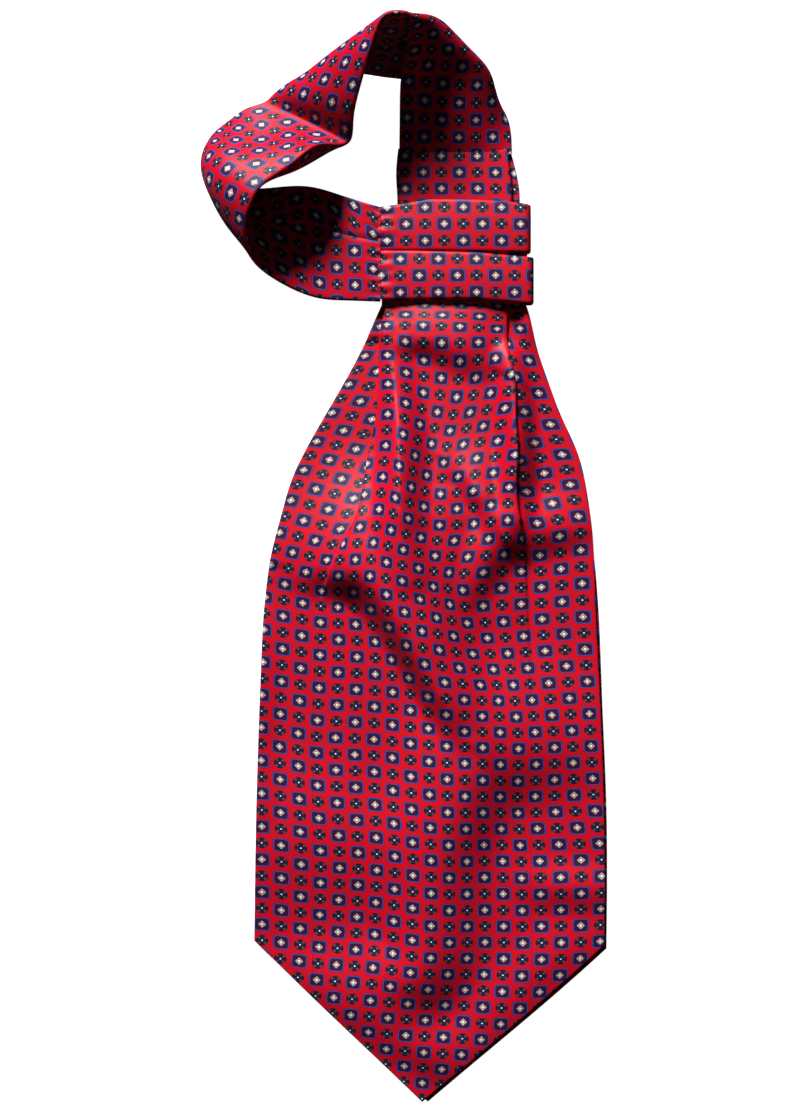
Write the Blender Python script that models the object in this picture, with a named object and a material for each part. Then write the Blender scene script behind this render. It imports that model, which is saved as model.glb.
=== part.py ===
"""A self-tie silk cravat, laid flat with its neckband standing in a loose loop.

Millimetres are used for every named size, and turned into metres when a mesh is made.
Before the last step, X runs across the front blade, Y runs up towards the neck loop,
and Z is the height above the table. The last step moves the whole object, so that the
middle of its bounding box is over the origin.
"""

import math
from collections import namedtuple

import bpy
import numpy as np

MM = 0.001

# Cloth walls
BLADE_WALL = 1.0
BACK_WALL = 1.6
BAND_WALL = 2.2
WRAP_WALL = 1.6
LAYER_PITCH = 1.3

# Front blade: folds of its neck and the resting height of its middle surface
PLEAT_TURN = LAYER_PITCH / 2
BLADE_REST = 2.6
TIP_X = 8.6
TIP_DROP = 68.8
BACK_TIP_X = 11.0
HEM_SLANT = 1.8
HEM_BULGE = 1.4
NECK_LIFT_FROM = 150.0
NECK_LIFT_OVER = 20.0
NECK_LIFT_LEFT = 2.2
NECK_LIFT_RIGHT = 0.2
LIFT_CURVE = 1.5

# Crossing of the second blade over the neck
CROSS_HEIGHT = 8.6
CROSS_TUCK = 9.0
CROSS_TURN = 2.2
CROSS_CROWN = 0.5
CROSS_FLAT = 0.5
UNDER_EDGE_HEIGHT = 6.9
UNDER_EDGE_WALL = 1.0
UNDER_EDGE_DEPTH = 9.0
UNDER_EDGE_PEEP = 2.2
UNDER_EDGE_END = 50.0
LIP_END = 56.0
LIP_TAPER = 30.0
UPPER_FOLD_END = 53.8
LOWER_FOLD_END = 55.0

# Meshing
TURN_PIECES = 4
WING_COLUMNS = 5
PANEL_COLUMNS = 20
PLEATED_STEP = 5.6
PLEATED_END = -5.0
HEM_ROWS = 20
BACK_ROW_COUNT = 30
BACK_COLUMNS = 9
BAND_STEPS = 3
BAND_COLUMNS = 12
WRAP_PIECES = 12
WRAP_COLUMNS = 7
UNDER_EDGE_COLUMNS = 13
UNDER_EDGE_ROWS = 4
BEND_PIECES = 4

BladeRow = namedtuple("BladeRow", "y left fold_l fold_r right tuck opening puff vee")
BLADE_ROWS = [
    # y, left edge, left fold, right fold, right edge, tuck, opening, puff, vee
    BladeRow(170.6, -1.8, 0.2, 44.2, 46.4, 20.0, 180, 0.6, 0),
    BladeRow(163.0, -2.5, -0.5, 45.2, 48.6, 20.0, 180, 0.6, 0),
    BladeRow(151.8, -2.0, 0.0, 45.8, 50.0, 20.0, 180, 0.3, 0),
    BladeRow(145.0, -2.2, -0.2, 45.0, 49.4, 20.0, 180, 0.0, 0),
    BladeRow(113.0, -6.0, -4.4, 44.2, 50.2, 20.0, 180, 0.0, 0),
    BladeRow(105.6, -9.3, -6.4, 44.1, 53.0, 20.0, 180, 0.2, 0),
    BladeRow(91.4, -15.6, -9.0, 43.9, 56.6, 19.5, 180, 0.9, 0),
    BladeRow(74.6, -24.4, -9.0, 47.0, 62.2, 15.5, 180, 0.9, 0),
    BladeRow(59.8, -33.0, -10.3, 47.3, 67.8, 12.0, 180, 1.5, 0),
    BladeRow(45.6, -41.0, -13.2, 48.0, 74.2, 8.5, 178, 1.7, 0),
    BladeRow(31.0, -47.6, -15.6, 47.4, 78.0, 4.0, 174, 1.8, 0),
    BladeRow(22.0, -50.2, -17.2, 48.0, 79.4, 1.2, 158, 2.0, 0),
    BladeRow(12.0, -52.9, -21.0, 49.6, 80.7, 0.2, 100, 2.2, 1),
    BladeRow(0.0, -55.8, -27.6, 50.9, 81.6, 0.0, 62, 3.0, 4),
    BladeRow(-12.0, -57.6, -32.0, 51.5, 82.0, 0.0, 38, 3.4, 6),
    BladeRow(-26.0, -58.9, -34.6, 52.1, 82.5, 0.0, 20, 3.2, 10),
    BladeRow(-44.0, -59.7, -35.6, 52.7, 83.4, 0.0, 8, 2.4, 14),
    BladeRow(-70.0, -60.7, -36.1, 53.3, 84.6, 0.0, 0, 1.0, 22),
    BladeRow(-105.0, -61.7, -36.2, 53.4, 85.8, 0.0, 0, 0.4, 36),
    BladeRow(-163.4, -62.8, -36.4, 53.6, 86.0, 0.0, 0, 0.0, TIP_DROP),
]

BackRow = namedtuple("BackRow", "y left right vee")
BACK_ROWS = [
    BackRow(147.0, 2.0, 43.4, 0),
    BackRow(112.0, -1.0, 44.4, 0),
    BackRow(91.0, -11.0, 53.0, 0),
    BackRow(60.0, -27.0, 64.5, 0),
    BackRow(30.0, -42.0, 76.0, 0),
    BackRow(3.0, -51.0, 81.4, 3),
    BackRow(-60.0, -57.5, 85.2, 18),
    BackRow(-105.0, -59.0, 87.0, 36),
    BackRow(-164.6, -60.0, 87.0, TIP_DROP - 1.8),
]

# Crossing of the second blade over the neck: its top edge, both sides of the split, its bottom edge
CrossRow = namedtuple("CrossRow", "x top split_top split_bottom bottom")
CROSS_ROWS = [
    CrossRow(-8.6, 147.9, 129.7, 129.4, 109.0),
    CrossRow(5.5, 150.1, 129.7, 129.4, 109.1),
    CrossRow(12.0, 151.1, 129.6, 129.2, 109.2),
    CrossRow(31.0, 150.8, 129.2, 128.6, 109.2),
    CrossRow(44.0, 150.3, 129.0, 127.6, 108.2),
    CrossRow(54.0, 149.0, 128.9, 126.8, 107.2),
]

# Soft folds of the front blade. Each is a crest through a few places, with its height there and
# the distance over which each side, seen along the crest, falls away.
FoldRow = namedtuple("FoldRow", "x y left right height")
BLADE_FOLDS = {
    "neck_bump": [
        FoldRow(-4.0, 97.5, 13.0, 10.0, 1.4),
        FoldRow(13.5, 93.0, 14.0, 14.0, 2.6),
        FoldRow(32.0, 84.5, 13.0, 13.0, 1.2),
    ],
    "panel_left": [
        FoldRow(-5.0, 82.0, 11.0, 5.0, 2.0),
        FoldRow(-1.6, 48.0, 15.0, 9.0, 8.2),
        FoldRow(-1.2, 22.0, 15.0, 12.0, 7.8),
        FoldRow(2.0, -5.0, 12.0, 12.0, 2.2),
    ],
    "panel_middle": [
        FoldRow(18.7, 70.0, 8.0, 9.0, 0.8),
        FoldRow(22.0, 41.0, 9.0, 10.0, 2.8),
        FoldRow(31.0, 18.0, 8.0, 9.0, 2.2),
    ],
    "panel_right": [
        FoldRow(45.2, 82.0, 9.0, 10.0, 2.6),
        FoldRow(48.2, 50.0, 10.0, 13.0, 5.9),
        FoldRow(49.4, 24.0, 9.0, 12.0, 3.4),
    ],
    "right_tuck": [
        FoldRow(52.5, 108.0, 6.0, 6.0, 2.6),
        FoldRow(53.0, 101.0, 6.5, 6.0, 3.2),
        FoldRow(56.0, 89.0, 7.0, 6.0, 0.8),
    ],
    "slanting": [
        FoldRow(-42.0, -3.0, 26.0, 12.0, 1.0),
        FoldRow(-24.2, -4.5, 38.0, 15.0, 4.4),
        FoldRow(-13.6, -9.5, 40.0, 14.5, 6.0),
        FoldRow(3.0, -32.0, 32.0, 12.0, 7.2),
        FoldRow(18.7, -55.3, 26.0, 11.0, 6.0),
        FoldRow(32.0, -73.0, 20.0, 12.0, 1.2),
    ],
    "right_wing": [
        FoldRow(78.0, 14.0, 12.0, 24.0, 0.8),
        FoldRow(60.6, 11.7, 16.0, 24.0, 2.8),
        FoldRow(42.0, 8.0, 17.0, 18.0, 3.5),
        FoldRow(31.0, -12.0, 12.0, 11.0, 1.2),
    ],
    "sweeping": [
        FoldRow(84.0, -78.5, 24.0, 42.0, 0.8),
        FoldRow(50.0, -80.3, 33.0, 54.0, 5.2),
        FoldRow(30.0, -90.0, 31.0, 46.0, 6.4),
        FoldRow(21.0, -110.0, 28.0, 42.0, 6.6),
        FoldRow(14.5, -133.0, 28.0, 40.0, 6.4),
        FoldRow(9.5, -160.0, 28.0, 28.0, 5.8),
        FoldRow(-4.0, -174.0, 24.0, 23.0, 4.8),
        FoldRow(-36.0, -171.0, 16.0, 20.0, 1.0),
    ],
    "lower_right": [
        FoldRow(84.8, -141.0, 14.0, 15.0, 1.8),
        FoldRow(58.0, -139.0, 13.0, 15.0, 1.6),
    ],
    "right_hem": [
        FoldRow(72.0, -166.0, 14.0, 20.0, 1.0),
        FoldRow(43.7, -190.5, 18.0, 20.0, 1.7),
        FoldRow(31.0, -203.5, 18.0, 18.0, 1.5),
    ],
    "left_hem": [
        FoldRow(-32.0, -185.0, 18.0, 16.0, 1.6),
        FoldRow(-5.0, -202.0, 19.0, 21.0, 3.5),
        FoldRow(20.0, -214.0, 20.0, 18.0, 2.6),
    ],
}
CREST_PIECES = 6
CREST_BLEND = 1.5

# Neckband sections, from the front blade's seam round the loop to the crossing.
# rim = raised long edge, bend = pull point of the curved section, foot = edge on the table,
# puff = how far its underside hangs by the rim, fading over PUFF_REACH of the section
PUFF_REACH = 0.45
PUFF_CURVE = 1.5
BandRow = namedtuple(
    "BandRow", "rim_x rim_y rim_z bend_x bend_y bend_z foot_x foot_y foot_z puff"
)
BAND_ROWS = [
    BandRow(-1.2, 171.0, 7.4, 23.0, 171.0, 8.0, 46.8, 171.0, 5.0, 0),
    BandRow(-1.0, 185.7, 10.5, 38.0, 189.5, 17.0, 41.5, 188.0, 1.4, 0),
    BandRow(-0.5, 200.0, 18.5, 50.0, 206.0, 19.5, 29.0, 199.0, 1.2, 0),
    BandRow(1.0, 206.6, 25.5, 46.0, 214.5, 20.0, 18.5, 202.0, 1.2, 0),
    BandRow(2.5, 213.4, 33.0, 42.0, 225.0, 21.0, 7.5, 203.0, 1.2, 0),
    BandRow(3.0, 218.0, 39.5, 27.0, 231.5, 22.0, -1.0, 203.6, 1.2, 0),
    BandRow(1.0, 221.1, 43.0, 3.0, 221.0, 25.0, -8.5, 204.6, 1.2, 0),
    BandRow(-4.0, 221.1, 44.0, -6.5, 218.5, 26.0, -13.0, 205.4, 1.2, 0),
    BandRow(-8.5, 218.2, 43.5, -16.0, 221.5, 22.0, -18.5, 206.0, 1.2, 0),
    BandRow(-11.9, 209.5, 41.0, -31.5, 216.5, 21.0, -26.5, 206.0, 1.2, 0),
    BandRow(-14.5, 201.5, 37.0, -41.0, 209.5, 19.0, -35.0, 204.6, 1.2, 0),
    BandRow(-17.5, 192.5, 31.0, -47.5, 202.0, 16.0, -44.5, 202.2, 1.2, 0),
    BandRow(-20.1, 182.5, 23.0, -51.5, 195.0, 12.0, -53.5, 197.0, 1.2, 0),
    BandRow(-21.6, 174.5, 15.0, -42.5, 185.5, 10.0, -59.0, 193.2, 1.2, 0),
    BandRow(-27.2, 171.2, 16.0, -51.0, 184.5, 11.0, -66.0, 190.6, 1.2, 1.5),
    BandRow(-36.2, 164.8, 23.0, -61.5, 180.5, 14.0, -72.0, 186.5, 1.2, 7.5),
    BandRow(-46.1, 158.4, 30.0, -74.0, 175.0, 20.0, -78.6, 181.0, 1.2, 4.0),
    BandRow(-56.6, 152.7, 35.0, -85.5, 168.0, 26.0, -82.0, 175.6, 1.2, 0),
    BandRow(-61.5, 145.5, 35.0, -89.0, 158.5, 24.0, -82.6, 170.0, 1.2, 0),
    BandRow(-64.0, 138.0, 31.5, -85.5, 148.5, 19.0, -80.0, 164.5, 1.2, 0),
    BandRow(-64.0, 130.0, 26.0, -77.5, 139.0, 13.0, -75.5, 160.0, 1.2, 0),
    BandRow(-61.2, 123.4, 20.0, -67.5, 138.5, 8.5, -68.5, 157.6, 1.2, 0),
    BandRow(-54.3, 117.4, 15.0, -57.5, 136.0, 7.0, -58.5, 157.0, 1.4, 0),
    BandRow(-38.5, 110.0, 10.5, -39.5, 134.5, 6.5, -41.0, 157.6, 3.4, 0),
    BandRow(-24.0, 108.4, 8.8, -24.4, 131.0, 7.2, -25.0, 153.0, 6.4, 0),
    BandRow(-9.1, 107.9, 8.6, -9.1, 128.5, 8.6, -9.1, 147.8, 8.6, 0),
]

SILK_RED = (0.55, 0.012, 0.025, 1.0)
SILK_ROUGHNESS = 0.42


def clear_scene():
    for obj in list(bpy.data.objects):
        bpy.data.objects.remove(obj, do_unlink=True)


def silk(name, shade):
    """A red silk whose colour differs a little from node to node."""
    material = bpy.data.materials.new(name)
    material.use_nodes = True
    shader = material.node_tree.nodes["Principled BSDF"]
    red, green, blue, alpha = SILK_RED
    shader.inputs["Base Color"].default_value = (red * shade, green * shade, blue * shade, alpha)
    shader.inputs["Roughness"].default_value = SILK_ROUGHNESS
    shader.inputs["Metallic"].default_value = 0.0
    return material


def smooth_through(rows, knots, where):
    """Natural cubic through the rows at their knots, read at other places."""
    rows = np.asarray(rows, float)
    knots = np.asarray(knots, float)
    count = len(rows)
    step = np.diff(knots)
    system = np.eye(count)
    right = np.zeros_like(rows)
    for i in range(1, count - 1):
        system[i, i - 1] = step[i - 1]
        system[i, i] = 2 * (step[i - 1] + step[i])
        system[i, i + 1] = step[i]
        rise = (rows[i + 1] - rows[i]) / step[i] - (rows[i] - rows[i - 1]) / step[i - 1]
        right[i] = 6 * rise
    curve = np.linalg.solve(system, right)
    span = np.clip(np.searchsorted(knots, where, side="right") - 1, 0, count - 2)
    width = step[span][:, None]
    b = (np.asarray(where) - knots[span])[:, None] / width
    a = 1 - b
    bend = (a**3 - a) * curve[span] + (b**3 - b) * curve[span + 1]
    return a * rows[span] + b * rows[span + 1] + bend * width**2 / 6


def rounded_fall(share):
    """1 on the crest, falling smoothly to 0 where share reaches 1."""
    return 0.5 * (1 + np.cos(np.pi * np.clip(share, 0, 1)))


def dense_crest(rows):
    """The crest of one fold as a smooth line of many short pieces."""
    knots = np.arange(len(rows), dtype=float)
    where = np.linspace(0, len(rows) - 1, CREST_PIECES * (len(rows) - 1) + 1)
    return smooth_through(rows, knots, where)


BLADE_CRESTS = [dense_crest(rows) for rows in BLADE_FOLDS.values()]


def fold_height(x, y, crests):
    """Sum of the soft folds at each place. Past its two ends a crest falls away as its sides do."""
    total = np.zeros_like(x)
    for crest in crests:
        start, step = crest[:-1], np.diff(crest, axis=0)
        piece = np.linalg.norm(step[:, :2], axis=1)
        way = step[:, :2] / piece[:, None]
        out_x = x[:, None] - start[None, :, 0]
        out_y = y[:, None] - start[None, :, 1]
        run = np.clip((out_x * way[:, 0] + out_y * way[:, 1]) / piece, 0, 1)
        off_x, off_y = out_x - run * step[:, 0], out_y - run * step[:, 1]
        away = np.hypot(off_x, off_y)
        leftward = way[:, 0] * out_y - way[:, 1] * out_x > 0
        left, right, height = (start[:, k] + run * step[:, k] for k in (2, 3, 4))
        level = height * rounded_fall(away / np.where(leftward, left, right))
        weight = np.exp(-(away - away.min(axis=1, keepdims=True)) / CREST_BLEND)
        total += (level * weight).sum(axis=1) / weight.sum(axis=1)
    return total


def wall(name, middle, thickness, material, puff=0.0):
    """Closes a grid of middle-surface points into a wall, with its underside puffed out where asked."""
    middle = np.asarray(middle, float)
    along = np.gradient(middle, axis=0)
    across = np.gradient(middle, axis=1)
    normal = np.cross(along, across)
    normal /= np.linalg.norm(normal, axis=2, keepdims=True)
    upper = middle + normal * thickness / 2
    lower = middle - normal * (thickness / 2 + puff)
    upper[..., 2] = np.maximum(upper[..., 2], 0.0)
    lower[..., 2] = np.maximum(lower[..., 2], 0.0)
    rows, columns = middle.shape[:2]
    total = rows * columns
    faces = []

    def spot(i, j, side):
        return side * total + i * columns + j

    for i in range(rows - 1):
        for j in range(columns - 1):
            ring = [(i, j), (i + 1, j), (i + 1, j + 1), (i, j + 1)]
            faces.append([spot(a, b, 0) for a, b in ring])
            faces.append([spot(a, b, 1) for a, b in reversed(ring)])
    rim = [(i, 0) for i in range(rows)]
    rim += [(rows - 1, j) for j in range(1, columns)]
    rim += [(i, columns - 1) for i in range(rows - 2, -1, -1)]
    rim += [(0, j) for j in range(columns - 2, 0, -1)]
    for (a, b), (c, d) in zip(rim, rim[1:] + rim[:1]):
        faces.append([spot(c, d, 0), spot(a, b, 0), spot(a, b, 1), spot(c, d, 1)])
    points = np.concatenate([upper.reshape(-1, 3), lower.reshape(-1, 3)]) * MM
    mesh = bpy.data.meshes.new(name)
    mesh.from_pydata(points.tolist(), [], faces)
    mesh.materials.append(material)
    obj = bpy.data.objects.new(name, mesh)
    bpy.context.scene.collection.objects.link(obj)
    return obj


def pleat_turns(x, z, tuck, opening, side):
    """Middle line of one pleat, from the lower cloth to the upper, as (x, z) points.

    The cloth turns up through the opening angle, runs back by the tuck, and turns on again.
    side is 1 where the upper cloth lies to the right, and -1 where it lies to the left.
    """
    angle = math.radians(max(opening, 1.0))
    turn = angle / TURN_PIECES
    chord = 2 * math.pi * PLEAT_TURN / angle * math.sin(turn / 2)
    bends = [turn * (k + 0.5) for k in range(TURN_PIECES)]
    legs = [(chord, bend) for bend in bends] + [(tuck, angle)] + [(chord, bend) for bend in bends[::-1]]
    path = [(0.0, 0.0)]
    for length, heading in legs:
        run, rise = path[-1]
        path.append((run + length * math.cos(heading), rise + length * math.sin(heading)))
    end_run, end_rise = path[-1]
    return [(x + side * (run - end_run), z + rise) for run, rise in path], end_rise


def blade_section(row):
    """Points across the front blade at one row, left edge to right edge, before its relief."""
    left, rise_l = pleat_turns(row.fold_l, BLADE_REST, row.tuck, row.opening, 1)
    right, rise_r = pleat_turns(row.fold_r, BLADE_REST, row.tuck, row.opening, -1)
    first = left[0][0]
    last = right[0][0]
    wing = np.arange(WING_COLUMNS) / WING_COLUMNS
    points = [(row.left + (first - row.left) * share, BLADE_REST) for share in wing]
    points += left
    span = row.fold_r - row.fold_l
    for k in range(1, PANEL_COLUMNS):
        share = k / PANEL_COLUMNS
        crown = row.puff * math.sin(math.pi * share)
        height = BLADE_REST + rise_l * (1 - share) + rise_r * share + crown
        points.append((row.fold_l + span * share, height))
    points += list(reversed(right))
    points += [(row.right - (row.right - last) * share, BLADE_REST) for share in wing[::-1]]
    return points


def hem_drop(x, left, right, tip):
    """How far a row of the point hangs below its corners: 1 at the tip, 0 at both side edges."""
    share = np.where(x < tip, (x - left) / (tip - left), (right - x) / (right - tip))
    share = np.clip(share, 0, 1)
    over = np.clip((x - tip) / (right - tip), 0, 1)
    slant = HEM_SLANT * over + HEM_BULGE * 4 * over * (1 - over) * over
    return share + slant / TIP_DROP


def build_blade_front(material):
    knots = -np.array([row.y for row in BLADE_ROWS])
    pleated = np.arange(knots[0], -PLEATED_END, PLEATED_STEP)
    where = np.concatenate([pleated, np.linspace(-PLEATED_END, knots[-1], HEM_ROWS)])
    outline = smooth_through([row[1:5] for row in BLADE_ROWS], knots, where)
    simple = [np.interp(where, knots, [row[k] for row in BLADE_ROWS]) for k in (5, 6, 7, 8)]
    grid = []
    for i, place in enumerate(where):
        tuck, opening, puff, vee = (column[i] for column in simple)
        row = BladeRow(-place, *outline[i], tuck, opening, puff, vee)
        section = np.array(blade_section(row))
        x, z = section[:, 0], section[:, 1]
        y = row.y - vee * hem_drop(x, row.left, row.right, TIP_X)
        z = z + fold_height(x, y, BLADE_CRESTS)
        lift = np.clip((row.y - NECK_LIFT_FROM) / NECK_LIFT_OVER, 0, 1) ** LIFT_CURVE
        share = (x - row.left) / (row.right - row.left)
        z = z + lift * ((1 - share) * NECK_LIFT_LEFT + share * NECK_LIFT_RIGHT)
        grid.append(np.stack([x, y, z], axis=1))
    return wall("blade_front", grid, BLADE_WALL, material)


def build_blade_back(material):
    knots = -np.array([row.y for row in BACK_ROWS])
    where = np.linspace(knots[0], knots[-1], BACK_ROW_COUNT)
    edges = smooth_through([row[1:3] for row in BACK_ROWS], knots, where)
    vees = np.interp(where, knots, [row.vee for row in BACK_ROWS])
    grid = []
    for place, (left, right), vee in zip(where, edges, vees):
        near = np.linspace(left, BACK_TIP_X, BACK_COLUMNS)
        far = np.linspace(BACK_TIP_X, right, BACK_COLUMNS)
        x = np.concatenate([near, far[1:]])
        y = -place - vee * hem_drop(x, left, right, BACK_TIP_X)
        grid.append(np.stack([x, y, np.full_like(x, BACK_WALL / 2)], axis=1))
    return wall("blade_back", grid, BACK_WALL, material)


def build_neckband(material):
    rows = np.array(BAND_ROWS, float)
    chord = np.linalg.norm(np.diff(rows, axis=0), axis=1)
    knots = np.concatenate([[0], np.cumsum(np.sqrt(chord))])
    parts = [np.linspace(a, b, BAND_STEPS + 1)[:-1] for a, b in zip(knots, knots[1:])]
    where = np.concatenate(parts + [knots[-1:]])
    lines = smooth_through(rows, knots, where)
    t = np.linspace(0, 1, BAND_COLUMNS + 1)[None, :, None]
    rim, bend, foot = (lines[:, None, k : k + 3] for k in (0, 3, 6))
    middle = (1 - t) ** 2 * rim + 2 * t * (1 - t) * bend + t**2 * foot
    puff = np.maximum(lines[:, 9], 0)[:, None, None] * np.clip(1 - t / PUFF_REACH, 0, 1) ** PUFF_CURVE
    return wall("neckband", middle, BAND_WALL, material, puff)


def rounded_path(corners, radius):
    """Polyline through the corners, with every inner corner rounded by an arc."""
    corners = [np.array(corner, float) for corner in corners]
    path = [corners[0]]
    for before, corner, after in zip(corners, corners[1:], corners[2:]):
        into = (corner - before) / np.linalg.norm(corner - before)
        out = (after - corner) / np.linalg.norm(after - corner)
        turn = math.acos(np.clip(into @ out, -1, 1))
        back = radius * math.tan(turn / 2)
        for k in range(BEND_PIECES + 1):
            t = k / BEND_PIECES
            start, end = corner - into * back, corner + out * back
            path.append((1 - t) ** 2 * start + 2 * t * (1 - t) * corner + t**2 * end)
    path.append(corners[-1])
    return path


def build_wrap(name, top, bottom, end, material):
    """One lengthwise fold of the second blade: over the neck, round its right side, and under."""
    low = BACK_WALL / 2
    start = CROSS_ROWS[0].x
    corners = [(start, CROSS_HEIGHT), (end, CROSS_HEIGHT), (end, low), (end - CROSS_TUCK, low)]
    turns = rounded_path(corners, CROSS_TURN)[1:]
    reach = (turns[0][0] - start) / WRAP_PIECES
    across = [(start + reach * k, CROSS_HEIGHT) for k in range(WRAP_PIECES)]
    knots = [row.x for row in CROSS_ROWS]
    share = np.linspace(0, 1, WRAP_COLUMNS)
    grid = []
    for x, z in across + turns:
        y = np.interp(x, knots, top) * (1 - share) + np.interp(x, knots, bottom) * share
        crown = CROSS_CROWN * np.sin(np.pi * share) * (z > CROSS_HEIGHT - CROSS_FLAT)
        grid.append(np.stack([np.full_like(share, x), y, z + crown], axis=1))
    return wall(name, grid, WRAP_WALL, material)


def build_under_edge(material):
    """The doubled lower edge of the crossing, which shows as a narrow lip below it."""
    x = np.linspace(CROSS_ROWS[0].x, UNDER_EDGE_END, UNDER_EDGE_COLUMNS)
    bottom = np.interp(x, [row.x for row in CROSS_ROWS], [row.bottom for row in CROSS_ROWS])
    lip = UNDER_EDGE_PEEP * np.clip((LIP_END - x) / LIP_TAPER, 0, 1)
    grid = []
    for share in np.linspace(0, 1, UNDER_EDGE_ROWS):
        y = bottom - lip + UNDER_EDGE_DEPTH * (1 - share)
        grid.append(np.stack([x, y, np.full_like(x, UNDER_EDGE_HEIGHT)], axis=1))
    return wall("wrap_under_edge", grid, UNDER_EDGE_WALL, material)


def build_wraps(upper_material, lower_material, edge_material):
    top, split_top = [[row[k] for row in CROSS_ROWS] for k in (1, 2)]
    split_bottom, bottom = [[row[k] for row in CROSS_ROWS] for k in (3, 4)]
    build_wrap("wrap_upper_fold", top, split_top, UPPER_FOLD_END, upper_material)
    build_wrap("wrap_lower_fold", split_bottom, bottom, LOWER_FOLD_END, lower_material)
    build_under_edge(edge_material)


def seat_on_origin():
    """Moves every mesh so that the middle of the bounding box's foot is the origin."""
    bpy.context.view_layer.update()
    meshes = [obj.data for obj in bpy.data.objects if obj.type == "MESH"]
    points = np.array([vertex.co[:] for mesh in meshes for vertex in mesh.vertices])
    low, high = points.min(axis=0), points.max(axis=0)
    shift = np.array([(low[0] + high[0]) / 2, (low[1] + high[1]) / 2, low[2]])
    for mesh in meshes:
        for vertex in mesh.vertices:
            vertex.co = [vertex.co[k] - shift[k] for k in range(3)]
        mesh.update()


def main():
    clear_scene()
    build_blade_back(silk("silk_back", 0.7))
    build_blade_front(silk("silk_front", 1.0))
    build_neckband(silk("silk_neckband", 0.85))
    build_wraps(silk("silk_wrap_upper", 0.95), silk("silk_wrap_lower", 0.9), silk("silk_wrap_edge", 0.8))
    seat_on_origin()


main()
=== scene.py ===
"""Looks of a self-tie silk cravat that lies flat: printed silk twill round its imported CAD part.

Named sizes are in millimetres unless a comment says otherwise. Tables and forms are in the cloth's
own layout, in which X runs across the front blade and Y up towards the neck loop. place() moves them
onto the frame.
The print is a checkerboard of square and round motifs. Its UV layer counts them, one motif for each
whole step: U along the length of the neckband or across a blade, V the other way.
"""

import math
from collections import namedtuple

import bpy
import numpy as np
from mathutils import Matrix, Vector


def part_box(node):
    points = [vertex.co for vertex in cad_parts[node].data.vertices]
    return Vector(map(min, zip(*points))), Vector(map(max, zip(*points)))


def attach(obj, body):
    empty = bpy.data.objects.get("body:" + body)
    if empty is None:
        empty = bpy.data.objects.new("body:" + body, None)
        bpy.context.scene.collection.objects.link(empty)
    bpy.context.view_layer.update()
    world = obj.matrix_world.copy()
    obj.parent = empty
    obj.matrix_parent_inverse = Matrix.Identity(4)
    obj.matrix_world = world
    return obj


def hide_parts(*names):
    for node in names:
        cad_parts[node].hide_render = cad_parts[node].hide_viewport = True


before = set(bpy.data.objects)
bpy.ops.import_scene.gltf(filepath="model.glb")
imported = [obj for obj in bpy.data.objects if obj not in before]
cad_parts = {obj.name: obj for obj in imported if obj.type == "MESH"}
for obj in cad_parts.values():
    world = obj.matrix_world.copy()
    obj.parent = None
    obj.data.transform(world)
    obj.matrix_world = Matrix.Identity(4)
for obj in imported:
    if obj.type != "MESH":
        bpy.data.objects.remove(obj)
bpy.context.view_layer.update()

MM = 0.001
TINY = 1e-12

# Cloth. A wall is a solid's thickness. Its slack is how much thinner the silk is that replaces it,
# for the neckband on each side.
SILK = 0.7
BACK_SILK = 1.1
LAYER_PITCH = 0.95
PLEAT_TURN = LAYER_PITCH / 2
BLADE_REST = 2.6
BACK_WALL = 1.6
BAND_WALL = 2.2
BAND_SLACK = 0.1
WRAP_WALL = 1.6
WRAP_SLACK = 0.2
RIM_ROUND = 0.8
RIM_LEAST = 0.02
FLOOR_GAP = 0.02

# Print
PRINT_LAYER = "print"
PITCH_P = 8.02
PITCH_Q = 7.0

# Front blade
TIP_X = 8.6
TIP_DROP = 68.8
HEM_SLANT = 1.8
HEM_BULGE = 1.4
ROW_STEP = 1.5
EDGE_STEPS = (0.12, 0.35, 0.7)
EDGE_CLEAR = 1.0
EDGE_SHARE = 3.0
NECK_RISE_FROM = 150.0
NECK_RISE_OVER = 20.0
NECK_RISE_POWER = 1.5
NECK_RISE_LEFT = 2.2
NECK_RISE_RIGHT = 0.2

# Back blade
BACK_TIP_X = 11.0
BACK_TIP_RISE = 1.8
BACK_ROW_COUNT = 140
BACK_HALF_POINTS = 25
BACK_PRINT_AHEAD = 0.3

# Crossing
CROSS_HEIGHT = 8.6
CROSS_TUCK = 9.0
CROSS_TURN = 2.2
CORNER_PIECES = 8
CROSS_CROWN = 0.5
CROSS_BULGE = 1.0
LEVEL_SLACK = 0.5
WRAP_STEPS = 50
WRAP_SPAN = 20.0
WRAP_POINTS = 26
UNDER_EDGE_HEIGHT = 6.9
INNER_DEPTH = 1.1
INNER_SILK = 0.5
INNER_TOP = 132.5
INNER_BOTTOM = 124.5
INNER_STEPS = 20
INNER_POINTS = 9
UNDER_EDGE_WALL = 1.0
UNDER_EDGE_SLACK = 0.1
UNDER_EDGE_DEPTH = 9.0
UNDER_EDGE_PEEP = 2.2
UNDER_EDGE_END = 50.0
UNDER_EDGE_FADED = 56.0
UNDER_EDGE_FADE = 30.0
UNDER_EDGE_STEPS = 60
UNDER_EDGE_POINTS = 10
SEAM_TUCK = 1.6
SEAM_DIP = 0.6
SEAM_DIP_REACH = 1.3
UPPER_FOLD_END = 53.8
LOWER_FOLD_END = 55.0
UPPER_PRINT_AT = (9.8, 147.5)
LOWER_PRINT_AT = (-0.7, 125.8)

# Puckers: two ripples on top of each other, the second longer and lower
PUCKER_DEPTH = 0.3
PUCKER_PITCH = 4.7
PUCKER_REACH = 4.0
PUCKER_SECOND = 0.5
PUCKER_STRETCH = 1.7

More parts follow.
